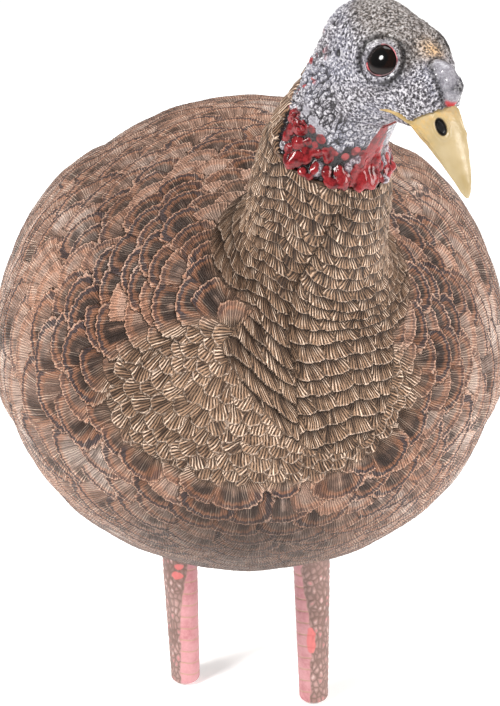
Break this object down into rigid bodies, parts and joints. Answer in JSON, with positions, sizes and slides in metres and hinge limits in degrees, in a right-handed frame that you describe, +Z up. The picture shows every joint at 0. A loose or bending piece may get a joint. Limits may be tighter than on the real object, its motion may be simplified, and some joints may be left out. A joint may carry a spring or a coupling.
{
  "type": "turkey decoy",
  "caption": "Life-size hen turkey decoy standing with its head turned, on a stake sleeve that lets it swivel; the head pulls out and turns.",
  "frame": {"origin": "mouth of the stake bore under the belly, on its axis", "axes": "+Z up along the stake, the bird faces -Y, its left side is +X"},
  "size_m": [0.2794, 0.6415, 0.4712],
  "materials": {
    "body_feathers": "moulded feather relief, painted brown with pale dry-brushing",
    "neck_feathers": "moulded hackle feathers, pale edges over brown",
    "wing_feathers": "moulded wing feathers, brown with grey bars",
    "tail_feathers": "moulded tail feathers, brown with a pale end band",
    "head_skin": "warty skin, grey-white over black with red at the throat",
    "beak": "satin pale yellow",
    "eye": "polished near black",
    "leg_skin": "scaled skin, pink over brown",
    "black_plastic": "moulded",
    "steel": "plain"
  },
  "bodies": {
    "stake_mount": {"stake_sleeve": "black_plastic", "thrust_ball": "steel", "retaining_clip": "steel"},
    "decoy": {"left_body_shell": "body_feathers", "right_body_shell": "body_feathers", "neck": "neck_feathers", "neck_ring": "black_plastic", "belly_bearing": "black_plastic", "back_bearing": "black_plastic", "left_wing": "wing_feathers", "right_wing": "wing_feathers", "tail": "tail_feathers", "tail_clamp": "black_plastic", "tail_screws": "steel", "left_leg": "leg_skin", "right_leg": "leg_skin", "leg_nuts": "black_plastic"},
    "head_plug": {"head_plug": "black_plastic"},
    "head": {"head": "head_skin", "beak": "beak", "left_eye": "eye", "right_eye": "eye", "head_screw": "steel"}
  },
  "joints": [
    {"name": "body_swivel", "type": "hinge", "parent": "stake_mount", "child": "decoy", "pos_m": [0, 0, 0], "axis": [0, 0, 1], "range_deg": [-45, 45]},
    {"name": "head_pull", "type": "slide", "parent": "decoy", "child": "head_plug", "axis": [0.2918, -0.3478, 0.891], "range_m": [0, 0.04]},
    {"name": "head_turn", "type": "hinge", "parent": "head_plug", "child": "head", "pos_m": [0.035, -0.172, 0.3005], "axis": [0.2918, -0.3478, 0.891], "range_deg": [-30, 30]}
  ]
}
